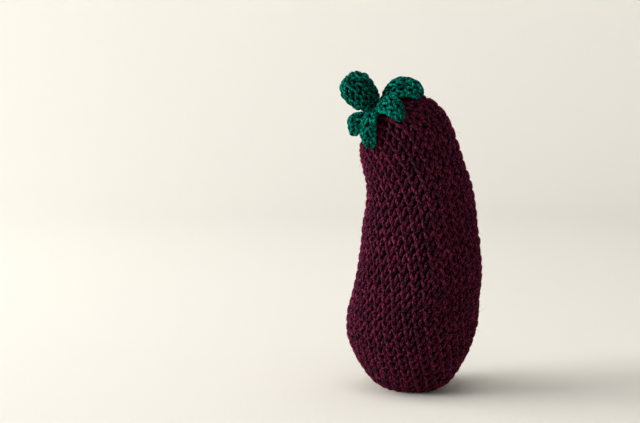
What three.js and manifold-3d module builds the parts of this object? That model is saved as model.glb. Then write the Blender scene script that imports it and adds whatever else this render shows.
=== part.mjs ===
// A stuffed toy eggplant, crocheted in wool. A wine-coloured bag, worked in rounds from the base up
// and filled with fibre, stands on a small flat spot and bends over at the neck. On its crown sit
// a green disc with six curled leaves and a fat round-ended stem, sewn on with one strand of yarn.
// Millimetres. +Z is up, -Y is the front and +X is the right as the front shows it. The origin is
// the middle of the flat spot that the toy stands on.

import * as THREE from "three";
import Module from "manifold-3d";
import { mergeVertices } from "three/addons/utils/BufferGeometryUtils.js";

const wasm = await Module();
wasm.setup();

// Yarn and stitches. A stitch is drawn a little larger than life, as the two legs of a V.
const stitchWidth = 6.0;
const stitchHeight = 5.4;
const stitchDepth = 1.7;
const stitchLean = -0.07;
const fabricThickness = 3.4;
const yarnRadius = 1.0;
const gap = 0.35;

// The body, from the base to the crown: where the middle of a round lies, how wide the round is,
// and by how many degrees it rises to the right. What would be below the floor is pressed flat.
const bodyStations = [
  { x: 0.0, z: -0.6, radius: 0.0, tip: 0 },
  { x: 0.0, z: -0.6, radius: 6.5, tip: 0 },
  { x: 0.0, z: 0.0, radius: 12.6, tip: 0.5 },
  { x: 0.1, z: 4.0, radius: 19.3, tip: 2 },
  { x: -0.1, z: 11.0, radius: 24.7, tip: 3.5 },
  { x: -0.3, z: 20.5, radius: 29.7, tip: 5 },
  { x: -0.4, z: 31.0, radius: 33.0, tip: 6 },
  { x: 0.0, z: 42.5, radius: 33.2, tip: 7 },
  { x: 1.8, z: 53.7, radius: 32.5, tip: 7.5 },
  { x: 2.7, z: 64.7, radius: 31.1, tip: 8 },
  { x: 2.7, z: 75.8, radius: 29.7, tip: 8.5 },
  { x: 2.6, z: 86.8, radius: 28.6, tip: 9 },
  { x: 2.4, z: 97.8, radius: 26.8, tip: 10.5 },
  { x: 0.3, z: 109.0, radius: 24.9, tip: 14 },
  { x: -2.8, z: 119.6, radius: 24.5, tip: 20 },
  { x: -6.8, z: 129.4, radius: 23.4, tip: 30 },
  { x: -12.6, z: 135.9, radius: 18.8, tip: 41 },
  { x: -16.0, z: 138.1, radius: 10.6, tip: 46 },
  { x: -17.8, z: 139.4, radius: 0.0, tip: 47 },
];
const closingReach = 4.6;
const wallPoints = 24;
const wallStep = 9;

// The crown disc and its leaves. A leaf sets off in a direction round the crown, where 0 is the right
// and -90 the front, and bends sideways on its way. Its tip lies at its reach from the crown's middle.
// Its arch is how far it rises off the body, with a peak above 1 where it rises late. It rolls about
// its own line by so many degrees half way along, and its tip ends on the body or somewhat off it.
const discReach = 9.2;
const discThickness = 2.8;
const discPoints = 24;
const leaves = [
  { direction: -32, bend: 0, reach: 24.8, arch: 4.6, peak: 1.0, roll: 42, tipLift: 0 },
  { direction: -74, bend: -8, reach: 25.5, arch: 4.4, peak: 1.4, roll: 8, tipLift: 0 },
  { direction: -112, bend: -24, reach: 24.5, arch: 3.9, peak: 1.2, roll: 0, tipLift: 0 },
  { direction: -186, bend: -4, reach: 16.5, arch: 4.6, peak: 1.2, roll: -45, tipLift: 2.2 },
  { direction: -244, bend: 14, reach: 24, arch: 4.4, peak: 1.2, roll: 0, tipLift: 0 },
  { direction: -326, bend: -6, reach: 25, arch: 4.6, peak: 1.2, roll: 0, tipLift: 0 },
];
const leafRoot = 4.5;
const leafHalfWidth = 5.3;
const leafThickness = 3.0;
const leafCup = 1.1;
const leafLevels = 11;
const leafColumns = 5;
const leafDimple = 0.7;

// The stem: the height above its foot and the radius there
const stemStations = [
  { height: 0.0, radius: 4.4 },
  { height: 2.0, radius: 6.0 },
  { height: 5.6, radius: 7.6 },
  { height: 10.4, radius: 8.3 },
  { height: 15.0, radius: 7.9 },
  { height: 18.8, radius: 5.2 },
  { height: 20.4, radius: 0.0 },
];
const stemRounds = 5;
const stemThickness = 3.0;
const stemRelief = 1.1;
const stemMouth = 2.3;
const stemForward = 8;
const stemRight = 4;
const stemFoot = discThickness + 1.2;

// The strand that sews stem, disc and body together with a knot at each end, and the tail of body
// yarn that draws the last round shut. Heights are along the crown's own line.
const knotRadius = 2.2;
const knotAbove = 13;
const knotBelow = -13;
const closingRing = 3.0;
const closingDepth = 1.8;

const bodyYarn = new THREE.MeshStandardMaterial({ color: 0x5a1428, roughness: 0.95, metalness: 0 });
const crownYarn = new THREE.MeshStandardMaterial({ color: 0x0b6b52, roughness: 0.92, metalness: 0 });
const fibre = new THREE.MeshStandardMaterial({ color: 0xe9e4da, roughness: 1, metalness: 0 });

const radians = THREE.MathUtils.degToRad;
const clamp = THREE.MathUtils.clamp;
const fullTurn = 2 * Math.PI;
const front = -Math.PI / 2;
const skinSamples = 1200;

// Smooth curves through the stations, both read by the same share of the way from base to crown
const middles = new THREE.CatmullRomCurve3(
  bodyStations.map((s) => new THREE.Vector3(s.x, 0, s.z)), false, "catmullrom");
const sizes = new THREE.CatmullRomCurve3(
  bodyStations.map((s) => new THREE.Vector3(s.radius, radians(s.tip), 0)), false, "catmullrom");

const base = bodyStations[0];
const crown = middles.getPoint(1);
const crownTip = radians(bodyStations.at(-1).tip);
const crownAxis = new THREE.Vector3(-Math.sin(crownTip), 0, Math.cos(crownTip));
const crownTurn = new THREE.Quaternion().setFromUnitVectors(new THREE.Vector3(0, 0, 1), crownAxis);

// The point on the body's outside at a share of the way up and an angle round it
function bodyPoint(share, angle) {
  const middle = middles.getPoint(share);
  const { x: radius, y: tip } = sizes.getPoint(share);
  const across = radius * Math.cos(angle);
  return new THREE.Vector3(
    middle.x + across * Math.cos(tip),
    radius * Math.sin(angle),
    middle.z + across * Math.sin(tip));
}

// The direction that faces straight out of the body there
function bodyNormal(share, angle) {
  const step = 0.002;
  const inside = clamp(share, 2 * step, 1 - 2 * step);
  const up = bodyPoint(inside + step, angle).sub(bodyPoint(inside - step, angle));
  const round = bodyPoint(inside, angle + step).sub(bodyPoint(inside, angle - step));
  return round.cross(up).normalize();
}

// A point sunk below the body's outside, but never lower than the level given
function bodySunk(share, angle, depth, level) {
  const point = bodyPoint(share, angle).addScaledVector(bodyNormal(share, angle), -depth);
  point.z = Math.max(point.z, level);
  return point;
}

// The shares of the way up that lie at the given distances along the skin from the base, or from
// the crown. The distances rise.
function sharesAlong(angle, distances, fromCrown = false) {
  const shareAt = (step) => (fromCrown ? 1 - step / skinSamples : step / skinSamples);
  const shares = [];
  let length = 0;
  let before = bodyPoint(shareAt(0), angle);
  for (let i = 1; i <= skinSamples; i++) {
    const here = bodyPoint(shareAt(i), angle);
    const piece = here.distanceTo(before);
    while (shares.length < distances.length && length + piece >= distances[shares.length]) {
      shares.push(shareAt(i - 1 + (distances[shares.length] - length) / piece));
    }
    length += piece;
    before = here;
  }
  return shares;
}

// How long the skin is from base to crown along one side
function skinLength(angle) {
  const points = Array.from({ length: skinSamples + 1 }, (_, i) => bodyPoint(i / skinSamples, angle));
  return points.slice(1).reduce((length, point, i) => length + point.distanceTo(points[i]), 0);
}

// A geometry from points and triangles
function meshOf(points, faces) {
  const geometry = new THREE.BufferGeometry();
  geometry.setAttribute("position", new THREE.Float32BufferAttribute(points.flatMap((p) => p.toArray()), 3));
  geometry.setIndex(faces);
  return geometry;
}

// Joins rings of points into one closed skin. Every ring runs the same way round. A point knows its
// place in the turn, and whether it is raised. A ring of one point is a pole.
function skinOf(rings) {
  const points = [];
  const faces = [];
  const numbered = rings.map((ring) => ring.map(({ at, place, raised }) => {
    points.push(at);
    return { place, raised, index: points.length - 1 };
  }));
  numbered.slice(1).forEach((high, r) => joinRings(numbered[r], high, faces));
  return meshOf(points, faces);
}

// Fills the band between two rings. The triangles keep pace round the turn, and where two points are
// level, the edge runs between the raised ones, so that the legs of the stitches stand out.
function joinRings(low, high, faces) {
  const next = (ring, i) => ring[(i + 1) % ring.length].index;
  if (low.length === 1) {
    high.forEach((p, k) => faces.push(low[0].index, next(high, k), p.index));
    return;
  }
  if (high.length === 1) {
    low.forEach((p, j) => faces.push(p.index, next(low, j), high[0].index));
    return;
  }
  const apart = (place) => place - low[0].place - Math.round(place - low[0].place);
  const nearest = high.reduce((best, p, k) =>
    (Math.abs(apart(p.place)) < Math.abs(apart(high[best].place)) ? k : best), 0);
  const turned = Math.round(high[nearest].place - low[0].place);
  const lowAt = (j) => low[j % low.length];
  const highAt = (k) => high[(nearest + k) % high.length];
  const lowPlace = (j) => lowAt(j).place + Math.floor(j / low.length);
  const highPlace = (k) => highAt(k).place + Math.floor((nearest + k) / high.length) - turned;
  const level = 0.3 / Math.max(low.length, high.length);
  let j = 0;
  let k = 0;
  while (j < low.length || k < high.length) {
    const lead = lowPlace(j + 1) - highPlace(k + 1);
    const stepLow = Math.abs(lead) < level ? lowAt(j + 1).raised : lead < 0;
    if (k === high.length || (j < low.length && stepLow)) {
      faces.push(lowAt(j).index, lowAt(j + 1).index, highAt(k).index);
      j++;
    } else {
      faces.push(lowAt(j).index, highAt(k + 1).index, highAt(k).index);
      k++;
    }
  }
}

// The two rings of one round of stitches: the feet of the Vs with holes between them, and half
// a stitch higher their legs, with a dimple inside each V. pointAt is given how far up the round
// the ring lies, the place in the turn and the share of the stitch's full depth.
function stitchRings(count, offset, pointAt) {
  const ring = (up, footDepth, betweenDepth) => Array.from({ length: 2 * count }, (_, j) => {
    const place = (j / 2 + offset) / count;
    const depth = j % 2 === 0 ? footDepth : betweenDepth;
    return { at: pointAt(up, place, depth), place, raised: depth === 0 };
  });
  return [ring(0, 0, 1), ring(0.5, 0.5, 0)];
}

// A ring with no stitches
function plainRing(count, pointAt) {
  return Array.from({ length: count }, (_, j) => ({ at: pointAt(j / count), place: j / count, raised: false }));
}

function pole(x, z) {
  return [{ at: new THREE.Vector3(x, 0, z), place: 0, raised: false }];
}

function stitchesRound(radius) {
  return Math.max(6, Math.round(fullTurn * radius / stitchWidth));
}

// Where the plain rings of the inner wall and of the filling lie
function wallShares(stopShort) {
  const count = Math.floor((skinLength(front) - stopShort) / wallStep);
  return sharesAlong(front, Array.from({ length: count }, (_, i) => (i + 0.7) * wallStep));
}

function bodyRings(shares, depth) {
  return shares.map((share) => plainRing(wallPoints, (place) =>
    bodySunk(share, fullTurn * place, depth, depth)));
}

// The bag: an outer skin of stitches and a plain inner wall, which meet at the drawn-up last round
function bodyCover() {
  const length = skinLength(front);
  const rounds = Math.round((length - closingReach) / stitchHeight);
  const height = (length - closingReach) / rounds;
  const shares = sharesAlong(front, Array.from({ length: 2 * rounds }, (_, i) => (i / 2 + 0.4) * height));
  const firstOffFloor = shares.findIndex((share, i) => i % 2 === 0 && bodyPoint(share, front).z > 0);
  const rings = [pole(base.x, 0), ...bodyRings([shares[firstOffFloor - 2]], 0)];
  let offset = 0;
  for (let i = firstOffFloor; i < shares.length; i += 2) {
    offset += stitchLean;
    rings.push(...stitchRings(stitchesRound(sizes.getPoint(shares[i]).x), offset, (up, place, depth) => {
      const share = shares[i + 2 * up];
      const angle = fullTurn * place;
      const offFloor = clamp(bodyPoint(share, angle).z / stitchHeight, 0, 1);
      return bodySunk(share, angle, depth * stitchDepth * offFloor, 0);
    }));
  }
  const inner = wallShares(closingReach + stitchHeight).reverse();
  rings.push(...bodyRings([shares.at(-1), ...inner], fabricThickness), pole(base.x, fabricThickness));
  return skinOf(rings);
}

// The fibre filling: the space inside the bag, less a gap and less the strand with its knot
function bodyFilling() {
  const depth = fabricThickness + gap;
  const top = crown.clone().addScaledVector(crownAxis, -depth);
  const rings = [pole(base.x, depth), ...bodyRings(wallShares(14), depth), pole(top.x, top.z)];
  return fromSolid(solidOf(skinOf(rings)).subtract(solidOf(strandAlongCrown(gap))));
}

const stemProfile = new THREE.CatmullRomCurve3(
  stemStations.map((s) => new THREE.Vector3(s.radius, 0, s.height)), false, "catmullrom");
const stemTop = stemStations.at(-1).height;
const stemWallShares = [0.3, 0.45, 0.6, 0.75];

// A point of the stem in its own frame, up its axis from the foot, sunk below its outside
function stemPoint(share, angle, depth) {
  const step = 0.01;
  const inside = clamp(share, step, 1 - step);
  const along = stemProfile.getPoint(inside + step).sub(stemProfile.getPoint(inside - step)).normalize();
  const outside = stemProfile.getPoint(share);
  const radius = Math.max(0, outside.x - depth * along.z);
  return new THREE.Vector3(
    radius * Math.cos(angle),
    radius * Math.sin(angle),
    Math.max(0, outside.z + depth * along.x));
}

function stemRings(shares, depth) {
  return shares.map((share) => plainRing(wallPoints / 2, (place) => stemPoint(share, fullTurn * place, depth)));
}

// The stem's cover: an inner wall from the top down to the mouth, then stitches up to the round end
function stemCover() {
  const mouth = [stemThickness, 0].map((height) => plainRing(wallPoints / 2, (place) =>
    new THREE.Vector3(stemMouth, 0, height).applyAxisAngle(new THREE.Vector3(0, 0, 1), fullTurn * place)));
  const innerWall = stemRings(stemWallShares.toReversed(), stemThickness);
  const rings = [pole(0, stemTop - stemThickness), ...innerWall, ...mouth];
  for (let i = 0; i < stemRounds; i++) {
    const share = (i + 0.15) / stemRounds;
    const count = stitchesRound(stemProfile.getPoint(share + 0.5 / stemRounds).x);
    rings.push(...stitchRings(count, i * stitchLean, (up, place, depth) =>
      stemPoint(share + up / stemRounds, fullTurn * place, i + up > 0 ? depth * stemRelief : 0)));
  }
  return onCrown(skinOf([...rings, pole(0, stemTop)]));
}

function stemFilling() {
  const depth = stemThickness + gap;
  const filling = onCrown(skinOf([pole(0, depth), ...stemRings(stemWallShares, depth), pole(0, stemTop - depth)]));
  return fromSolid(solidOf(filling).subtract(solidOf(strandAlongCrown(gap))));
}

// Stands a stem piece on the disc. The stem leans from the crown's own line to the front and right.
function onCrown(geometry) {
  const lean = new THREE.Quaternion().setFromEuler(new THREE.Euler(radians(stemForward), radians(stemRight), 0));
  const foot = crown.clone().addScaledVector(crownAxis, stemFoot);
  return geometry.applyQuaternion(lean).applyQuaternion(crownTurn).translate(...foot.toArray());
}

// The sewing strand with its knots, or, with a clearance, the room that it takes
function strandAlongCrown(clearance) {
  const knot = knotRadius + clearance;
  const neck = Math.asin((yarnRadius + clearance) / knot);
  const steps = 6;
  const profile = [];
  for (const [height, from] of [[knotBelow, 0], [knotAbove, neck]]) {
    for (let i = 0; i <= steps; i++) {
      const angle = from + (Math.PI - neck) * i / steps;
      profile.push(new THREE.Vector2(knot * Math.sin(angle), height - knot * Math.cos(angle)));
    }
  }
  profile[0].x = 0;
  profile.at(-1).x = 0;
  const strand = new THREE.LatheGeometry(profile, 12).rotateX(Math.PI / 2);
  return strand.applyQuaternion(crownTurn).translate(...crown.toArray());
}

function closingTail() {
  const middle = crown.clone().addScaledVector(crownAxis, -closingDepth);
  const ring = new THREE.TorusGeometry(closingRing, 0.9 * yarnRadius, 8, wallPoints);
  return ring.applyQuaternion(crownTurn).translate(...middle.toArray());
}

// The disc that the leaves grow from. It follows the crown, a gap above it, and the strand comes
// through its middle.
function crownDisc() {
  const hole = yarnRadius + gap;
  const reaches = [hole, discReach / 2, discReach - 1, discReach];
  const rim = [
    { ring: 0, lift: gap },
    { ring: 1, lift: gap },
    { ring: 2, lift: gap },
    { ring: 3, lift: gap + 0.3 * discThickness },
    { ring: 3, lift: gap + 0.7 * discThickness },
    { ring: 2, lift: gap + discThickness },
    { ring: 1, lift: gap + discThickness },
    { ring: 0, lift: gap + discThickness },
  ];
  const points = [];
  for (let a = 0; a < discPoints; a++) {
    const angle = fullTurn * a / discPoints;
    const shares = sharesAlong(angle, reaches, true);
    points.push(...rim.map(({ ring, lift }) => bodyPoint(shares[ring], angle).addScaledVector(crownAxis, lift)));
  }
  const faces = [];
  for (let a = 0; a < discPoints; a++) {
    const after = (a + 1) % discPoints;
    for (let i = 0; i < rim.length; i++) {
      const up = (i + 1) % rim.length;
      const [here, hereUp] = [a * rim.length + i, a * rim.length + up];
      const [there, thereUp] = [after * rim.length + i, after * rim.length + up];
      faces.push(here, there, thereUp, here, thereUp, hereUp);
    }
  }
  return meshOf(points, faces);
}

// The leaf's half width from root to blunt tip, as a share of the widest
function leafOutline(along) {
  const taper = along < 0.55 ? 0.92 + 0.15 * along : 1 - 0.5 * (along - 0.55);
  const blunt = along > 0.8 ? Math.sqrt(1 - ((along - 0.8) / 0.22) ** 2) : 1;
  return taper * blunt;
}

// One leaf: a strip of stitches that springs up off the crown, arches over and comes down to the body
function leafOf({ direction, bend, reach, arch, peak, roll, tipLift }) {
  const last = leafLevels - 1;
  const spine = Array.from({ length: leafLevels }, (_, i) => {
    const along = i / last;
    const angle = radians(direction + bend * along ** 2);
    const [share] = sharesAlong(angle, [leafRoot + (reach - leafRoot) * along], true);
    const normal = bodyNormal(share, angle);
    const rise = arch * Math.sin(Math.PI * along ** peak) ** 0.8 + tipLift * along;
    const lift = 2 * gap + leafThickness / 2 + rise;
    return { at: bodyPoint(share, angle).addScaledVector(normal, lift), normal };
  });
  const top = [];
  const under = [];
  spine.forEach(({ at, normal }, i) => {
    const along = spine[Math.min(i + 1, last)].at.clone().sub(spine[Math.max(i - 1, 0)].at).normalize();
    const rolled = radians(roll) * Math.sqrt(Math.sin(Math.PI * i / last));
    const side = normal.clone().cross(along).normalize().applyAxisAngle(along, rolled);
    const up = along.clone().cross(side).normalize();
    const halfWidth = leafHalfWidth * leafOutline(i / last) * (i % 2 ? 1.06 : 0.94);
    for (let c = 0; c < leafColumns; c++) {
      const across = 2 * c / (leafColumns - 1) - 1;
      const dimple = (i + c) % 2 ? leafDimple : 0;
      const half = leafThickness / 2 * (1 - 0.45 * across ** 2);
      const place = at.clone().addScaledVector(side, halfWidth * across);
      place.addScaledVector(up, -leafCup * across ** 2);
      top.push(place.clone().addScaledVector(up, half - dimple));
      under.push(place.clone().addScaledVector(up, dimple / 2 - half));
    }
  });
  return slabOf(top, under, leafLevels, leafColumns);
}

// A closed slab between two grids of points. Both faces are split along the same raised corners.
function slabOf(top, under, rows, columns) {
  const below = top.length;
  const faces = [];
  const quad = (a, b, c, d) => faces.push(a, b, c, a, c, d);
  for (let i = 0; i + 1 < rows; i++) {
    for (let c = 0; c + 1 < columns; c++) {
      const here = i * columns + c;
      const corners = [here, here + 1, here + columns + 1, here + columns];
      const [p, q, r, s] = (i + c) % 2 ? [...corners.slice(1), corners[0]] : corners;
      quad(p, s, r, q);
      quad(p + below, q + below, r + below, s + below);
    }
  }
  const rim = [];
  for (let c = 0; c < columns - 1; c++) rim.push(c);
  for (let i = 0; i < rows - 1; i++) rim.push(i * columns + columns - 1);
  for (let c = columns - 1; c > 0; c--) rim.push((rows - 1) * columns + c);
  for (let i = rows - 1; i > 0; i--) rim.push(i * columns);
  rim.forEach((a, i) => {
    const b = rim[(i + 1) % rim.length];
    quad(a, b, b + below, a + below);
  });
  return meshOf([...top, ...under], faces);
}

function calyx() {
  return fromSolid(leaves.reduce((whole, leaf) => whole.add(solidOf(leafOf(leaf))), solidOf(crownDisc())));
}

// To and from the form that joins and cuts
function solidOf(geometry) {
  const plain = geometry.clone();
  plain.deleteAttribute("normal");
  plain.deleteAttribute("uv");
  const merged = mergeVertices(plain, 1e-4);
  const vertProperties = Float32Array.from(merged.attributes.position.array);
  const triVerts = Uint32Array.from(merged.index.array);
  return new wasm.Manifold(new wasm.Mesh({ numProp: 3, vertProperties, triVerts }));
}

function fromSolid(solid) {
  const mesh = solid.getMesh();
  const geometry = new THREE.BufferGeometry();
  geometry.setAttribute("position", new THREE.BufferAttribute(mesh.vertProperties, 3));
  geometry.setIndex(new THREE.BufferAttribute(mesh.triVerts, 1));
  return geometry;
}

const eggplant = new THREE.Group();
const pieces = {
  body_cover: [bodyCover(), bodyYarn],
  body_filling: [bodyFilling(), fibre],
  closing_tail: [closingTail(), bodyYarn],
  calyx: [calyx(), crownYarn],
  stem_cover: [stemCover(), crownYarn],
  stem_filling: [stemFilling(), fibre],
  sewing_strand: [strandAlongCrown(0), crownYarn],
};
for (const [name, [geometry, material]] of Object.entries(pieces)) {
  const mesh = new THREE.Mesh(geometry, material);
  mesh.name = name;
  eggplant.add(mesh);
}

export default eggplant;
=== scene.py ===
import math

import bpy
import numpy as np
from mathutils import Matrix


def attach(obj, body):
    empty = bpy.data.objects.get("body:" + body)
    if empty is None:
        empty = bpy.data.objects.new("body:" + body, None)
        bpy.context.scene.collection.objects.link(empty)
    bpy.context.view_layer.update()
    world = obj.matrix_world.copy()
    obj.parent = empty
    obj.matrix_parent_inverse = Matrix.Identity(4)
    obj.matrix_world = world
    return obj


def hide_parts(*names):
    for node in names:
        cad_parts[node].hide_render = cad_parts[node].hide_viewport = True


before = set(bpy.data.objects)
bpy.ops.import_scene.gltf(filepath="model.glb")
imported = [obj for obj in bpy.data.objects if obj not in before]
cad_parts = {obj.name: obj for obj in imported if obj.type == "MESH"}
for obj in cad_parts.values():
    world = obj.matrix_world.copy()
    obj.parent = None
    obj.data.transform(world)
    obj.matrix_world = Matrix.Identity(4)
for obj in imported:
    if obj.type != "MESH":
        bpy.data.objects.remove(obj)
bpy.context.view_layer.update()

# A stuffed toy eggplant, crocheted in wool. A wine-coloured bag worked in rounds stands on a small
# flat spot and bends over at the neck, and a green crown of curled leaves with a padded stem sits on
# it. Every stitch is laid as real strands of yarn, on the same curves as the imported part, over a
# near-black inner skin of painted shade that shows through the holes. Loose fibres stand off the
# yarn as a soft halo.
# Shapes are worked out in millimetres, +Z up, -Y to the front, and turned into metres as they are made.

random = np.random.default_rng(11)
front = -math.pi / 2
fullTurn = 2 * math.pi
millimetre = 0.001


# Colours are given as on a screen and turned into the linear values that shaders work in
def linear(hexColour):
    channels = [int(hexColour[i:i + 2], 16) / 255 for i in (1, 3, 5)]
    return [c / 12.92 if c <= 0.04045 else ((c + 0.055) / 1.055) ** 2.4 for c in channels] + [1.0]


# Adds a node with its settings, and its inputs either as values or as links from other nodes' outputs
def addNode(tree, kind, settings=None, inputs=None):
    node = tree.nodes.new(kind)
    for name, value in (settings or {}).items():
        setattr(node, name, value)
    for name, value in (inputs or {}).items():
        if isinstance(value, bpy.types.NodeSocket):
            tree.links.new(value, node.inputs[name])
        else:
            node.inputs[name].default_value = value
    return node


def newMaterial(name):
    material = bpy.data.materials.new(name)
    material.use_nodes = True
    tree = material.node_tree
    surface = tree.nodes["Principled BSDF"]
    return material, tree, surface


# Wool yarn of several plies, each of many fine fibres. Lighter and darker fibres lie mixed along it,
# the grooves between the plies are painted dark as the shade that falls in them, and light that grazes
# it catches the fuzz. Single fibres are too fine to show, so a fleck of them is drawn over a millimetre
# long. Lengths are in millimetres.
woolLook = {
    "patch": 14.0,
    "patchShare": 0.06,
    "fleck": 1.3,
    "fleckShare": 0.94,
    "shades": (0.40, 0.5, 0.61),  # where the deep, the middle and the bright colour lie in the mix
    "plyPitch": 4.8,
    "plies": 3,
    "paintedGrooveShade": 0.35,
    "grooveEdge": 0.3,  # -1 is the bottom of a groove and 1 the crest of a ply
    "plyHeight": 0.5,
    "bump": 0.8,
    "bumpHeight": 0.25,
}


def woolMaterial(name, deep, middle, bright, sheen, sheenTint):
    material, tree, surface = newMaterial(name)
    place = addNode(tree, "ShaderNodeTexCoord").outputs["Object"]
    patches = addNode(tree, "ShaderNodeTexNoise", None, {
        "Vector": place, "Scale": 1 / (woolLook["patch"] * millimetre), "Detail": 3.0})
    flecks = addNode(tree, "ShaderNodeTexNoise", None, {
        "Vector": place, "Scale": 1 / (woolLook["fleck"] * millimetre), "Detail": 4.0, "Roughness": 0.7})
    patchPart = addNode(tree, "ShaderNodeMath", {"operation": "MULTIPLY"}, {
        0: patches.outputs[0], 1: woolLook["patchShare"]})
    mixed = addNode(tree, "ShaderNodeMath", {"operation": "MULTIPLY_ADD"}, {
        0: flecks.outputs[0], 1: woolLook["fleckShare"], 2: patchPart.outputs[0]})
    ramp = addNode(tree, "ShaderNodeValToRGB", None, {"Fac": mixed.outputs[0]})
    stops = ramp.color_ramp.elements
    stops[0].position, stops[1].position = woolLook["shades"][0], woolLook["shades"][2]
    stops.new(woolLook["shades"][1])
    for i, shade in enumerate((deep, middle, bright)):
        stops[i].color = linear(shade)
    strand = addNode(tree, "ShaderNodeAttribute", {"attribute_name": "strand"}).outputs["Vector"]
    way = addNode(tree, "ShaderNodeSeparateXYZ", None, {0: strand})
    along = addNode(tree, "ShaderNodeMath", {"operation": "MULTIPLY"}, {
        0: way.outputs[0], 1: fullTurn * woolLook["plies"] / woolLook["plyPitch"]})
    turned = addNode(tree, "ShaderNodeMath", {"operation": "MULTIPLY_ADD"}, {
        0: way.outputs[1], 1: fullTurn * woolLook["plies"], 2: along.outputs[0]})
    ply = addNode(tree, "ShaderNodeMath", {"operation": "SINE"}, {0: turned.outputs[0]})
    # Painted shade: the colour is darkened in the grooves between the plies
    groove = addNode(tree, "ShaderNodeMapRange", None, {
        "Value": ply.outputs[0], "From Min": -1.0, "From Max": woolLook["grooveEdge"],
        "To Min": woolLook["paintedGrooveShade"], "To Max": 1.0})
    colour = addNode(tree, "ShaderNodeMix", {"data_type": "RGBA", "blend_type": "MULTIPLY"}, {
        0: 1.0, 6: ramp.outputs[0], 7: groove.outputs[0]})
    height = addNode(tree, "ShaderNodeMath", {"operation": "MULTIPLY_ADD"}, {
        0: ply.outputs[0], 1: woolLook["plyHeight"], 2: flecks.outputs[0]})
    relief = addNode(tree, "ShaderNodeBump", None, {
        "Height": height.outputs[0], "Strength": woolLook["bump"],
        "Distance": woolLook["bumpHeight"] * millimetre})
    tree.links.new(colour.outputs[2], surface.inputs["Base Color"])
    tree.links.new(relief.outputs[0], surface.inputs["Normal"])
    surface.inputs["Roughness"].default_value = 0.9
    surface.inputs["Specular IOR Level"].default_value = 0.03
    surface.inputs["Sheen Weight"].default_value = sheen
    surface.inputs["Sheen Roughness"].default_value = 0.3
    surface.inputs["Sheen Tint"].default_value = linear(sheenTint)
    return material


# One even matt colour, for the painted shade under the stitches, single fibres and paper
def mattMaterial(name, colour, sheen=0.0):
    material, tree, surface = newMaterial(name)
    surface.inputs["Base Color"].default_value = linear(colour)
    surface.inputs["Roughness"].default_value = 1.0
    surface.inputs["Specular IOR Level"].default_value = 0.05
    surface.inputs["Sheen Weight"].default_value = sheen
    return material


# Wine-coloured wool: near black in the folds, and a warm red where the light catches it
bodyWool = woolMaterial("wine wool yarn", "#16101a", "#291625", "#782a4a", 0.8, "#d02c54")
# Painted shade: a bluish near-black skin under the stitches stands for the shade that falls in the holes
# between them
bodyPaintedShade = mattMaterial("painted shade under the wine stitches", "#0d0e13")
# The loose fibres are partly the wool's own colour and partly painted light: a brighter red than the yarn,
# for the light that glows through the fuzz at the edges
bodyFuzzAndGlow = mattMaterial("loose wine wool fibres with painted glow", "#9a1d43")

# Deep sea-green wool, with bluer and lighter fibres in it
crownWool = woolMaterial("sea-green wool yarn", "#001a17", "#004a42", "#009e89", 0.12, "#0c9c88")
# Painted shade: a near-black green under the stitches of the leaves, the disc and the stem stands for the
# shade in the holes
crownPaintedShade = mattMaterial("painted shade under the green stitches", "#000b09")
crownFuzz = mattMaterial("loose sea-green wool fibres", "#066a5e")

# Packed polyester fibre inside, off-white and matt
fibreFilling = mattMaterial("loose polyester fibre", "#e9e4da", 0.2)
print("materials made")


# A smooth curve through stations, read by the share of the way along it
def smoothCurve(stations, share):
    points = np.array(stations, float)
    last = len(points) - 1
    place = np.clip(np.asarray(share, float), 0, 1) * last
    first = np.minimum(place.astype(int), last - 1)
    part = (place - first)[..., None]
    every = np.concatenate([[2 * points[0] - points[1]], points, [2 * points[-1] - points[-2]]])
    before, start, end, after = (every[first + i] for i in range(4))
    return 0.5 * (2 * start + (end - before) * part
                  + (2 * before - 5 * start + 4 * end - after) * part ** 2
                  + (3 * start - before - 3 * end + after) * part ** 3)


def unit(vectors):
    return vectors / np.maximum(np.linalg.norm(vectors, axis=-1, keepdims=True), 1e-9)


# How far along a path each of its points lies
def lengthsAlong(points):
    return np.concatenate([[0], np.cumsum(np.linalg.norm(np.diff(points, axis=0), axis=1))])


def anglesRound(count):
    return np.arange(count) * fullTurn / count


# The body from the base to the crown: where the middle of a round lies to the right and up, how
# wide the round is, and by how many degrees it rises to the right
bodyStations = [
    (0.0, -0.6, 0.0, 0), (0.0, -0.6, 6.5, 0), (0.0, 0.0, 12.6, 0.5), (0.1, 4.0, 19.3, 2),
    (-0.1, 11.0, 24.7, 3.5), (-0.3, 20.5, 29.7, 5), (-0.4, 31.0, 33.0, 6), (0.0, 42.5, 33.2, 7),
    (1.8, 53.7, 32.5, 7.5), (2.7, 64.7, 31.1, 8), (2.7, 75.8, 29.7, 8.5), (2.6, 86.8, 28.6, 9),
    (2.4, 97.8, 26.8, 10.5), (0.3, 109.0, 24.9, 14), (-2.8, 119.6, 24.5, 20), (-6.8, 129.4, 23.4, 30),
    (-12.6, 135.9, 18.8, 41), (-16.0, 138.1, 10.6, 46), (-17.8, 139.4, 0.0, 47),
]
crownRight, crownHeight, _, crownDegrees = bodyStations[-1]
crownTip = math.radians(crownDegrees)
crown = np.array([crownRight, 0.0, crownHeight])
crownAxis = np.array([-math.sin(crownTip), 0.0, math.cos(crownTip)])


def bodyPoint(share, angle):
    x, z, radius, tip = np.moveaxis(smoothCurve(bodyStations, share), -1, 0)
    across = radius * np.cos(angle)
    tip = np.radians(tip)
    return np.stack([x + across * np.cos(tip), radius * np.sin(angle) + 0 * x, z + across * np.sin(tip)], -1)


def bodyNormal(share, angle):
    step = 0.002
    inside = np.clip(share, 2 * step, 1 - 2 * step)
    up = bodyPoint(inside + step, angle) - bodyPoint(inside - step, angle)
    around = bodyPoint(inside, angle + step) - bodyPoint(inside, angle - step)
    return unit(np.cross(around, up))


# How far along the skin each share of the way up lies, measured from the base up the front
skinSamples = 1201
skinShares = np.linspace(0, 1, skinSamples)
skinLengths = lengthsAlong(bodyPoint(skinShares, front))


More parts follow.
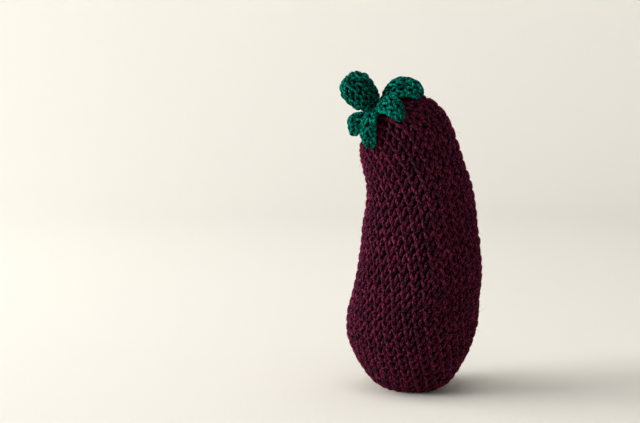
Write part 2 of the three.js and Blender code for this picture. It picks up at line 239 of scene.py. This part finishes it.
# Closed tubes along paths of points. up is the direction that faces out of the fabric. Each point
# remembers its place along the strand and round it, for the plies.
def tubesAlong(paths, up, radii, sides):
    strands, points = paths.shape[:2]
    ahead = unit(np.gradient(paths, axis=1))
    side = unit(np.cross(ahead, up))
    above = np.cross(side, ahead)
    turn = np.arange(sides) / sides
    angle = fullTurn * turn - math.pi / 2
    ring = side[:, :, None] * np.cos(angle)[:, None] + above[:, :, None] * np.sin(angle)[:, None]
    vertices = paths[:, :, None] + ring * radii[..., None, None]
    steps = np.linalg.norm(np.diff(paths, axis=1), axis=2)
    along = np.concatenate([np.zeros((strands, 1)), np.cumsum(steps, axis=1)], axis=1)
    along = along + random.uniform(0, 20, (strands, 1))  # so that the plies of no two strands lie alike
    marks = np.stack(np.broadcast_arrays(along[:, :, None], turn, 0.0), -1)
    index = np.arange(strands * points * sides).reshape(strands, points, sides)
    after = np.roll(index, -1, axis=2)
    walls = np.stack([index[:, :-1], index[:, 1:], after[:, 1:], after[:, :-1]], -1).reshape(-1, 4)
    caps = np.concatenate([index[:, 0], index[:, -1, ::-1]])
    return {"points": vertices.reshape(-1, 3), "marks": marks.reshape(-1, 3), "faces": [walls, caps]}


# A closed skin over rings of points that all run the same way round. A ring of one point is a pole.
def skinOver(rings, closed=False):
    starts = np.cumsum([0] + [len(ring) for ring in rings])
    quads, corners = [], []
    pairs = list(zip(range(len(rings)), range(1, len(rings))))
    if closed:
        pairs.append((len(rings) - 1, 0))
    for low, high in pairs:
        a = starts[low] + np.arange(len(rings[low]))
        b = starts[high] + np.arange(len(rings[high]))
        if len(a) == 1:
            corners.append(np.stack([np.full(len(b), a[0]), np.roll(b, -1), b], -1))
        elif len(b) == 1:
            corners.append(np.stack([a, np.roll(a, -1), np.full(len(a), b[0])], -1))
        else:
            quads.append(np.stack([a, np.roll(a, -1), np.roll(b, -1), b], -1))
    points = np.concatenate([np.asarray(ring, float).reshape(-1, 3) for ring in rings])
    faces = [np.concatenate(part) for part in (quads, corners) if part]
    return {"points": points, "marks": np.zeros_like(points), "faces": faces}


# Joins shapes into one mesh object, each shape with its own material. Nothing goes below lowest.
def pieceFrom(name, shapes, lowest=None):
    points, marks, faces, slots, materials = [], [], [], [], []
    count = 0
    for shape, material in shapes:
        if material not in materials:
            materials.append(material)
        points.append(shape["points"])
        marks.append(shape["marks"])
        for group in shape["faces"]:
            faces.extend((group + count).tolist())
            slots.extend([materials.index(material)] * len(group))
        count += len(shape["points"])
    points = np.concatenate(points)
    if lowest is not None:
        points[:, 2] = np.maximum(points[:, 2], lowest)
    mesh = bpy.data.meshes.new(name)
    mesh.from_pydata((points * millimetre).tolist(), [], faces)
    for material in materials:
        mesh.materials.append(material)
    mesh.polygons.foreach_set("material_index", slots)
    mesh.polygons.foreach_set("use_smooth", [True] * len(faces))
    strand = mesh.attributes.new("strand", "FLOAT_VECTOR", "POINT")
    strand.data.foreach_set("vector", np.concatenate(marks).astype(np.float32).ravel())
    mesh.update()
    piece = bpy.data.objects.new(name, mesh)
    bpy.context.scene.collection.objects.link(piece)
    return piece


# The yarn's ways through one stitch, seen from outside: how far across the stitch, how far up the
# round, how high against the fabric's outside in mm, and the yarn's radius there. Two legs open
# upward as a V, the left one fuller, and the yarn behind them closes the V.
stitchYarns = [
    [(0.03, -0.25, -2.5, 0.55), (-0.04, -0.12, -1.00, 0.77), (-0.15, 0.14, -0.66, 0.88),
     (-0.28, 0.46, -0.60, 0.89), (-0.38, 0.76, -0.87, 0.79), (-0.42, 0.94, -2.5, 0.55)],
    [(0.07, -0.24, -2.7, 0.50), (0.13, -0.11, -1.30, 0.70), (0.21, 0.13, -0.94, 0.80),
     (0.29, 0.41, -0.89, 0.80), (0.37, 0.69, -1.20, 0.70), (0.41, 0.86, -2.7, 0.50)],
    [(-0.34, 0.56, -3.3, 0.62), (0.00, 0.62, -3.0, 0.70), (0.34, 0.56, -3.3, 0.62)],
]
stitchRings = [8, 8, 4]
yarnSides = 6

# How much the stitches differ in each of those four. Nearly nine in ten stay within these values.
stitchUnevenness = {"across": 0.04, "up": 0.05, "height": 0.12, "radius": 0.07}


# Lays a fabric of stitches. rounds gives the number of stitches and the shift of each round, and
# place turns a height in rounds, a share of the way across and a height in mm into points and the
# directions out of the fabric there. yarns leaves out the yarn behind the legs where it is 2, and
# scale makes the yarn thinner and the relief less.
def layStitches(rounds, place, yarns=3, scale=1.0):
    row = np.concatenate([np.full(count, i, float) for i, (count, _) in enumerate(rounds)])
    total = np.concatenate([np.full(count, count, float) for count, _ in rounds])
    column = np.concatenate([np.arange(count) + shift for count, shift in rounds])
    uneven = {name: random.normal(0, most / 1.5, len(row)) for name, most in stitchUnevenness.items()}
    laid = []
    for yarn, rings in zip(stitchYarns[:yarns], stitchRings):
        across, up, height, radius = smoothCurve(yarn, np.linspace(0, 1, rings)).T
        share = (column[:, None] + across + uneven["across"][:, None]) / total[:, None]
        level = row[:, None] + up + uneven["up"][:, None]
        lift = scale * (height + uneven["height"][:, None])
        points, out = place(level, share, lift)
        radii = scale * radius * (1 + uneven["radius"][:, None])
        laid.append((points, out, radii))
    return laid


def yarnShapes(laid, material):
    return [(tubesAlong(points, out, radii, yarnSides), material) for points, out, radii in laid]


# The stitches and the shift of each round. Its width is read a little below its middle.
def roundsFrom(look, count, radiusAt):
    rounds = []
    for i in range(count):
        stitches = round(fullTurn * radiusAt(i + 0.4) / look["stitchWidth"])
        rounds.append((max(look["fewestStitches"], stitches), i * look["lean"]))
    return rounds


# Fibres that stand off the yarn: thin, curved and tapered, rooted on the outer side of the legs.
# Short ones are the most common, and those that would reach the floor are left out.
fibreLook = {
    "rootHeight": 0.7,
    "rise": (0.35, 1.0),
    "lean": 0.8,
    "bend": 0.66,
    "curl": 0.6,
    "lengthSpread": (1.3, 3.2),
    "ways": (0, 0.3, 0.65, 1.0),
    "taper": (1.0, 0.85, 0.6, 0.25),
    "thicknessSpread": (0.7, 1.3),
    "aside": 0.13,  # keeps the direction out of the fabric from lying along the fibre
    "floorGap": 0.3,
    "sides": 3,
}


def looseFibres(laid, count, shortest, longest, thickness):
    roots, outs, aheads = [], [], []
    for points, out, radii in laid[:2]:
        roots.append(points + out * radii[..., None] * fibreLook["rootHeight"])
        outs.append(out)
        aheads.append(unit(np.gradient(points, axis=1)))
    roots, outs, aheads = (np.concatenate([part[:, 1:-1].reshape(-1, 3) for part in parts])
                           for parts in (roots, outs, aheads))
    chosen = random.integers(0, len(roots), count)
    root, out, ahead = roots[chosen], outs[chosen], aheads[chosen]
    sideways = np.cross(out, ahead)
    lean = fibreLook["lean"] * random.normal(0, 1.0, (2, count, 1))
    rise = random.uniform(*fibreLook["rise"], (count, 1))
    start = unit(out * rise + ahead * lean[0] + sideways * lean[1])
    bent = unit(start + random.normal(0, fibreLook["bend"], (count, 3)))
    length = shortest + (longest - shortest) * random.beta(*fibreLook["lengthSpread"], (count, 1))
    ways = np.array(fibreLook["ways"])[:, None, None]
    path = root + length * (start * ways + (bent - start) * ways ** 2 * fibreLook["curl"])
    path = np.moveaxis(path, 0, 1)
    spread = random.uniform(*fibreLook["thicknessSpread"], (count, 1))
    radii = thickness * np.array(fibreLook["taper"])[None] * spread
    off = path[:, :, 2].min(axis=1) > fibreLook["floorGap"]
    up = np.broadcast_to(out[:, None] + fibreLook["aside"] * sideways[:, None], path.shape)
    return tubesAlong(path[off], up[off], radii[off], fibreLook["sides"])


# The body: rounds of stitches from the base up to the drawn-in last round under the crown
bodyLook = {
    "stitchWidth": 5.2,
    "fewestStitches": 6,
    "roundHeight": 4.6,
    "lean": -0.17,
    "firstRound": 2.6,
    "closing": 4.6,
    "ends": (0.3, 1.5),  # how near the yarn comes to the base's middle and to the crown's
    "yarnOffFloor": 0.6,
    "paintedShadeSkin": (2.7, 0.5),  # how deep the painted shade's outer skin lies, and how far off the floor
    "innerSkin": (3.4, 2.9),
    "skinStart": 8,
    "skinRings": 48,
    "skinPoints": 48,
    "fibres": [(26000, 0.4, 2.2), (120, 2.5, 6.0)],  # how many, and their shortest and longest
    "fibreThickness": 0.05,
}
bodyRun = skinLengths[-1] - bodyLook["closing"] - bodyLook["firstRound"]
bodyRounds = round(bodyRun / bodyLook["roundHeight"])
bodyHeight = bodyRun / bodyRounds


def bodyShare(level):
    nearBase, nearCrown = bodyLook["ends"]
    distance = np.clip(bodyLook["firstRound"] + level * bodyHeight, nearBase, skinLengths[-1] - nearCrown)
    return np.interp(distance, skinLengths, skinShares)


def onBody(level, share, lift):
    way = bodyShare(level)
    angle = front + fullTurn * share
    out = bodyNormal(way, angle)
    points = bodyPoint(way, angle) + out * lift[..., None]
    points[..., 2] = np.maximum(points[..., 2], bodyLook["yarnOffFloor"])
    return points, out


def bodyRing(share, depth, lowest):
    angle = anglesRound(bodyLook["skinPoints"])
    shares = np.full(len(angle), share)
    ring = bodyPoint(shares, angle) - depth * bodyNormal(shares, angle)
    ring[:, 2] = np.maximum(ring[:, 2], lowest)
    return ring


rounds = roundsFrom(bodyLook, bodyRounds, lambda level: smoothCurve(bodyStations, bodyShare(level))[2])
bodyStitches = layStitches(rounds, onBody)
skinEnd = skinLengths[-1] - bodyLook["closing"]
ringLengths = np.linspace(bodyLook["skinStart"], skinEnd, bodyLook["skinRings"])
ringShares = np.interp(ringLengths, skinLengths, skinShares)
# A closed near-black shell under the stitches: painted shade that shows through the holes
paintedShadeSkin = [bodyRing(share, *bodyLook["paintedShadeSkin"]) for share in ringShares]
innerSkin = [bodyRing(share, *bodyLook["innerSkin"]) for share in ringShares[::-1]]
bodyInner = skinOver([[(0, 0, bodyLook["paintedShadeSkin"][1])]] + paintedShadeSkin
                     + innerSkin + [[(0, 0, bodyLook["innerSkin"][1])]])
bodyShapes = yarnShapes(bodyStitches, bodyWool) + [(bodyInner, bodyPaintedShade)]
for count, shortest, longest in bodyLook["fibres"]:
    fibres = looseFibres(bodyStitches, count, shortest, longest, bodyLook["fibreThickness"])
    bodyShapes.append((fibres, bodyFuzzAndGlow))
body = pieceFrom("crocheted_body", bodyShapes, lowest=0.0)
print("body made,", sum(count for count, _ in rounds), "stitches in", bodyRounds, "rounds")

# The skin near the crown, read by the angle round it and the distance from its middle
crownTurns = 180
crownSteps = 120
crownReach = 30
crownTable = []
for angle in np.linspace(0, fullTurn, crownTurns + 1):
    lengths = lengthsAlong(bodyPoint(1 - skinShares, angle))
    crownTable.append(np.interp(np.linspace(0, crownReach, crownSteps + 1), lengths, 1 - skinShares))
crownTable = np.array(crownTable)


def skinNearCrown(angle, distance):
    turn = np.mod(angle, fullTurn) / fullTurn * crownTurns
    step = distance / crownReach * crownSteps
    a = np.minimum(turn.astype(int), crownTurns - 1)
    d = np.minimum(step.astype(int), crownSteps - 1)
    fa, fd = turn - a, step - d
    share = ((crownTable[a, d] * (1 - fd) + crownTable[a, d + 1] * fd) * (1 - fa)
             + (crownTable[a + 1, d] * (1 - fd) + crownTable[a + 1, d + 1] * fd) * fa)
    return bodyPoint(share, angle), bodyNormal(share, angle)


# The crown: a round disc of stitches, and six leaves that spring from it and curl down
crownLook = {
    "yarnScale": 0.9,
    "gap": 0.35,
    "discReach": 9.2,
    "discHole": 1.6,
    "discInset": 0.6,
    "discThickness": 2.8,
    "discSunk": 2.0,
    "discRoundHeight": 3.6,
    "discRounds": [(7, 0), (12, 0.3)],  # the stitches in each round, and its shift
    "discCore": [(1.6, 0.5), (8.7, 0.5), (8.7, 2.0), (1.6, 2.0)],  # how far out and how high it lies
    "discPoints": 36,
    "leafRoot": 4.5,
    "leafHalfWidth": 5.3,
    "leafInset": 0.4,
    "leafThickness": 3.0,
    "leafThinning": 0.45,
    "leafSunk": 0.5,
    "leafCup": 1.1,
    "leafPoints": 61,
    "roundHeight": 4.4,
    "rimRadius": 1.0,
    "rimWave": (0.16, 1.9),  # by what share the rim swells, and how quickly from point to point
    "rimPoints": 22,
    "rimSides": 8,
    "coreHalf": 0.45,
    "coreWidth": 0.8,
    "corePoints": 12,
    "fibresPerStitch": 7,
    "fibreLength": (0.5, 2.2),
    "fibreThickness": 0.04,
}

# A leaf sets off in a direction round the crown, where 0 is the right and -90 the front, and bends
# sideways on its way. Its tip lies at its reach from the crown's middle. Its arch is how far it rises
# off the body, with a peak above 1 where it rises late. It rolls about its own line by so many degrees
# half way along, its tip ends on the body or somewhat off it, and it narrows towards the tip.
leafValues = ("direction", "bend", "reach", "arch", "peak", "roll", "tipLift", "narrowing")
leaves = [dict(zip(leafValues, values)) for values in (
    (-32, 0, 24.8, 4.6, 1.0, 42, 0, 0.5),
    (-74, -8, 25.5, 4.4, 1.4, 8, 0, 1.05),
    (-112, -24, 24.5, 3.9, 1.2, 0, 0, 0.5),
    (-186, -4, 16.5, 4.6, 1.2, -45, 2.2, 0.5),
    (-244, 14, 24, 4.4, 1.2, 0, 0, 0.5),
    (-326, -6, 25, 4.6, 1.2, 0, 0, 0.5),
)]
crownShapes = []
crownStitches = []


# The leaf's half width from root to blunt tip, as a share of the widest
def leafOutline(along, narrowing):
    taper = np.where(along < 0.55, 0.92 + 0.15 * along, 1 - narrowing * (along - 0.55))
    blunt = np.sqrt(1 - (np.clip(along - 0.8, 0, 0.2) / 0.22) ** 2)
    return taper * blunt


# One leaf: stitches on both faces, a strand round its rim and a near-black core of painted shade between the
# faces
def crochetLeaf(leaf):
    along = np.linspace(0, 1, crownLook["leafPoints"])
    angle = np.radians(leaf["direction"] + leaf["bend"] * along ** 2)
    root = crownLook["leafRoot"]
    spine, normal = skinNearCrown(angle, root + (leaf["reach"] - root) * along)
    lift = (2 * crownLook["gap"] + crownLook["leafThickness"] / 2 + leaf["tipLift"] * along
            + leaf["arch"] * np.sin(math.pi * along ** leaf["peak"]).clip(0) ** 0.8)
    spine = spine + normal * lift[:, None]
    ahead = unit(np.gradient(spine, axis=0))
    side = unit(np.cross(normal, ahead))
    roll = (math.radians(leaf["roll"]) * np.sqrt(np.sin(math.pi * along).clip(0)))[:, None]
    side = side * np.cos(roll) + np.cross(ahead, side) * np.sin(roll)
    above = unit(np.cross(ahead, side))
    lengths = lengthsAlong(spine)
    leafRounds = round(lengths[-1] / crownLook["roundHeight"])

    def onLeaf(level, share, lift, face=1):
        distance = np.clip(level / leafRounds, 0, 1) * lengths[-1]
        across = np.clip(2 * share - 1, -1, 1)
        at, to, up = (np.stack([np.interp(distance, lengths, line[:, k]) for k in range(3)], -1)
                      for line in (spine, side, above))
        outline = leafOutline(np.interp(distance, lengths, along), leaf["narrowing"])
        width = crownLook["leafHalfWidth"] * outline - crownLook["leafInset"]
        half = crownLook["leafThickness"] / 2 * (1 - crownLook["leafThinning"] * across ** 2)
        rise = face * (half + lift).clip(-crownLook["leafSunk"]) - crownLook["leafCup"] * across ** 2
        return at + to * (width * across)[..., None] + up * rise[..., None], face * up

    for face in (1, -1):
        laid = layStitches([(2, 0.5)] * leafRounds,
                           lambda level, share, lift: onLeaf(level, share, lift, face),
                           2, crownLook["yarnScale"])
        crownShapes.extend(yarnShapes(laid, crownWool))
        crownStitches.append(laid)

    points = crownLook["rimPoints"]
    oneSide = np.linspace(0, 1, points) ** 0.8  # closer together towards the tip
    level = leafRounds * np.concatenate([oneSide, oneSide[::-1]])[None]
    share = np.repeat([0.0, 1.0], points)[None]
    rim, out = onLeaf(level, share, np.full(level.shape, -crownLook["leafThickness"]))
    swell, pace = crownLook["rimWave"]
    radii = crownLook["rimRadius"] * (1 + swell * np.sin(np.arange(2 * points) * pace))[None]
    crownShapes.append((tubesAlong(rim, out, radii, crownLook["rimSides"]), crownWool))

    turn = anglesRound(crownLook["corePoints"])[:, None]
    halfWidths = crownLook["leafHalfWidth"] * leafOutline(along, leaf["narrowing"])
    core = [[spine[0]]]
    for k in range(2, crownLook["leafPoints"] - 2, 4):  # every fourth point, short of both ends
        width = crownLook["coreWidth"] * halfWidths[k] * np.cos(turn)
        rise = crownLook["coreHalf"] * np.sin(turn) - crownLook["leafCup"] * np.cos(turn) ** 2
        core.append(spine[k] + side[k] * width + above[k] * rise)
    core.append([spine[-1]])
    crownShapes.append((skinOver(core), crownPaintedShade))


def onDisc(level, share, lift):
    distance = crownLook["discHole"] + level * crownLook["discRoundHeight"]
    distance = np.clip(distance, crownLook["discHole"], crownLook["discReach"] - crownLook["discInset"])
    points, _ = skinNearCrown(front + fullTurn * share, distance)
    height = crownLook["gap"] + crownLook["discThickness"] + lift.clip(-crownLook["discSunk"])
    return points + crownAxis * height[..., None], np.broadcast_to(crownAxis, points.shape)


for leaf in leaves:
    crochetLeaf(leaf)
discStitches = layStitches(crownLook["discRounds"], onDisc, 2, crownLook["yarnScale"])
crownShapes.extend(yarnShapes(discStitches, crownWool))
crownStitches.append(discStitches)
# The disc's core, a near-black ring of painted shade under its stitches
discCore = []
for reach, lift in crownLook["discCore"]:
    ring, _ = skinNearCrown(anglesRound(crownLook["discPoints"]), np.full(crownLook["discPoints"], reach))
    discCore.append(ring + crownAxis * (crownLook["gap"] + lift))
crownShapes.append((skinOver(discCore, closed=True), crownPaintedShade))
for laid in crownStitches:
    count = len(laid[0][0]) * crownLook["fibresPerStitch"]
    fibres = looseFibres(laid, count, *crownLook["fibreLength"], crownLook["fibreThickness"])
    crownShapes.append((fibres, crownFuzz))
leafyCrown = pieceFrom("leafy_crown", crownShapes)
print("crown made")

# The stem: an egg-shaped padded cap of a few rounds that leans to the front. Its stations are the
# radius and the height above its foot.
stemLook = {
    "stations": [(4.4, 0.0), (6.0, 2.0), (7.6, 5.6), (8.3, 10.4), (7.9, 15.0), (5.2, 18.8), (0.0, 20.4)],
    "samples": 301,
    "foot": 4.0,
    "forward": 8,
    "right": 4,
    "yarnScale": 0.9,
    "roundHeight": 4.5,
    "stitchWidth": 5.2,
    "fewestStitches": 5,
    "lean": -0.07,
    "nearestTop": 0.4,
    "narrowest": 0.2,
    "footLevels": (0.08, 0.36),
    "footSunk": 0.9,
    "footRadius": 1.1,
    "footPoints": 33,
    "coreEnds": (0.02, 0.94),
    "coreRings": 14,
    "corePoints": 24,
    "shadeDepth": 1.8,
    "innerDepth": 3.0,
    "innerPole": (0.985, 3.2),
    "fibresPerStitch": 8,
    "fibreLength": (0.5, 2.2),
    "fibreThickness": 0.04,
}


# The matrix that turns about the axis 0, 1 or 2 by an angle
def turnAbout(axis, angle):
    first, second = (axis + 1) % 3, (axis + 2) % 3
    matrix = np.eye(3)
    matrix[first, first] = matrix[second, second] = math.cos(angle)
    matrix[first, second], matrix[second, first] = -math.sin(angle), math.sin(angle)
    return matrix


leanForward = turnAbout(0, math.radians(stemLook["forward"]))
leanRight = turnAbout(1, math.radians(stemLook["right"]))
stemTurn = turnAbout(1, -crownTip) @ leanForward @ leanRight
stemFoot = crown + stemLook["foot"] * crownAxis
profile = smoothCurve(stemLook["stations"], np.linspace(0, 1, stemLook["samples"]))
profileLengths = lengthsAlong(profile)
stemRounds = round(profileLengths[-1] / stemLook["roundHeight"])


def stemRadius(level):
    return np.interp(level / stemRounds * profileLengths[-1], profileLengths, profile[:, 0])


def onStem(level, share, lift):
    distance = level / stemRounds * profileLengths[-1]
    distance = np.clip(distance, 0, profileLengths[-1] - stemLook["nearestTop"])
    angle = front + fullTurn * share
    radius, height = (np.interp(distance, profileLengths, profile[:, k]) for k in range(2))
    slope = np.gradient(profile, axis=0)
    outward, upward = (np.interp(distance, profileLengths, slope[:, k]) for k in range(2))
    size = np.hypot(outward, upward)
    flat, rise = upward / size, -outward / size
    radius, height = np.maximum(radius + lift * flat, stemLook["narrowest"]), height + lift * rise
    points = np.stack([radius * np.cos(angle), radius * np.sin(angle), height], -1)
    out = np.stack([flat * np.cos(angle), flat * np.sin(angle), rise], -1)
    return points @ stemTurn.T + stemFoot, out @ stemTurn.T


# A ring of points round the stem at a share of its rounds, or with a count of 1 a pole
def stemRing(share, depth, count):
    level = np.full(count, share * stemRounds)
    return onStem(level, np.arange(count) / count, np.full(count, -depth))[0]


rounds = roundsFrom(stemLook, stemRounds, stemRadius)
stemStitches = layStitches(rounds, onStem, 2, stemLook["yarnScale"])
footTurns = np.linspace(0, 1, stemLook["footPoints"])[None]
footYarns = []
for level in stemLook["footLevels"]:
    flatLevel = np.full(footTurns.shape, level)
    points, out = onStem(flatLevel, footTurns, np.full(footTurns.shape, -stemLook["footSunk"]))
    footYarns.append((points, out, np.full(footTurns.shape, stemLook["footRadius"])))
coreShares = np.linspace(*stemLook["coreEnds"], stemLook["coreRings"])
corePoints = stemLook["corePoints"]
# The stem's core, a near-black shell of painted shade under its stitches
stemCore = ([stemRing(*stemLook["innerPole"], 1)]
            + [stemRing(share, stemLook["innerDepth"], corePoints) for share in coreShares[:0:-1]]
            + [stemRing(share, stemLook["shadeDepth"], corePoints) for share in coreShares]
            + [stemRing(1.0, stemLook["shadeDepth"], 1)])
stemShapes = yarnShapes(stemStitches + footYarns, crownWool) + [(skinOver(stemCore), crownPaintedShade)]
count = len(stemStitches[0][0]) * stemLook["fibresPerStitch"]
fibres = looseFibres(stemStitches, count, *stemLook["fibreLength"], stemLook["fibreThickness"])
stemShapes.append((fibres, crownFuzz))
stem = pieceFrom("padded_stem", stemShapes)
print("stem made")

for piece, node, slotName in ((body, "body_cover", "body_yarn"), (leafyCrown, "calyx", "crown_yarn"),
                              (stem, "stem_cover", "crown_yarn")):
    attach(piece, "root")
    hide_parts(node)

# What is packed away inside keeps its form from the frame and takes its real material
insides = {
    "body_filling": fibreFilling,
    "stem_filling": fibreFilling,
    "closing_tail": bodyWool,
    "sewing_strand": crownWool,
}
for node, material in insides.items():
    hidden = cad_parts[node]
    hidden.data.materials.clear()
    hidden.data.materials.append(material)

# A plain round floor of pale paper that sweeps up on all sides, far beyond where any view stands
room = {
    "radius": 2400.0,
    "middle": -900.0,
    "bend": 700.0,
    "height": 2400.0,
    "points": 96,
    "bendRings": 17,
    "floorColour": "#dedcd8",
}
bends = np.linspace(0, math.pi / 2, room["bendRings"])
reaches = np.append(room["radius"] - room["bend"] * (1 - np.sin(bends)), room["radius"])
heights = np.append(room["bend"] * (1 - np.cos(bends)), room["height"])
turn = anglesRound(room["points"])
sweep = [[(0, room["middle"], 0)]]
for reach, height in zip(reaches, heights):
    x, y = reach * np.cos(turn), room["middle"] + reach * np.sin(turn)
    sweep.append(np.stack([x, y, np.full(room["points"], height)], -1))
paper = mattMaterial("matt pale paper", room["floorColour"])
pieceFrom("backdrop", [(skinOver(sweep), paper)])

# Soft light from a wide window to the left and one behind it, from the ceiling, and on the far paper:
# where a lamp hangs and what it aims at, in metres, how wide it is and its watts
lampColour = "#fffdf8"
lamps = {
    "window": ((-1.926, -0.340, 0.496), (0.0, 0.0, 0.08), 0.9, 51.0),
    "rear window": ((-1.422, 0.381, 0.930), (0.0, 0.0, 0.08), 0.9, 13.0),
    "ceiling": ((-0.2, -0.4, 1.9), (-0.2, -0.4, 0.0), 1.6, 17.0),
    "sweep": ((0.0, 0.5, 1.5), (0.0, 1.5, 0.9), 1.4, 1.5),
}
for name, (place, aim, width, watts) in lamps.items():
    lamp = bpy.data.lights.new(name, "AREA")
    lamp.shape = "RECTANGLE"
    lamp.size, lamp.size_y = width, width
    lamp.energy = watts
    lamp.color = linear(lampColour)[:3]
    light = bpy.data.objects.new(name, lamp)
    bpy.context.scene.collection.objects.link(light)
    light.location = place
    way = np.array(aim) - np.array(place)
    tilt = math.acos(-way[2] / np.linalg.norm(way))
    light.rotation_euler = (tilt, 0.0, math.atan2(way[1], way[0]) - math.pi / 2)

world = bpy.data.worlds.new("pale room")
world.use_nodes = True
bpy.context.scene.world = world
surroundings = world.node_tree.nodes["Background"]
surroundings.inputs["Color"].default_value = linear("#fcfaf6")
surroundings.inputs["Strength"].default_value = 0.05
bpy.context.scene.view_settings.view_transform = "Standard"

cameraData = bpy.data.cameras.new("camera")
cameraData.lens = 73.1
cameraData.sensor_width = 36.0
cameraData.clip_start = 0.05
cameraData.clip_end = 20.0
camera = bpy.data.objects.new("camera", cameraData)
bpy.context.scene.collection.objects.link(camera)
camera.location = (-0.047, -0.6464, 0.1574)
camera.rotation_euler = (math.radians(84), 0.0, 0.0)
bpy.context.scene.camera = camera

print("light and camera set")
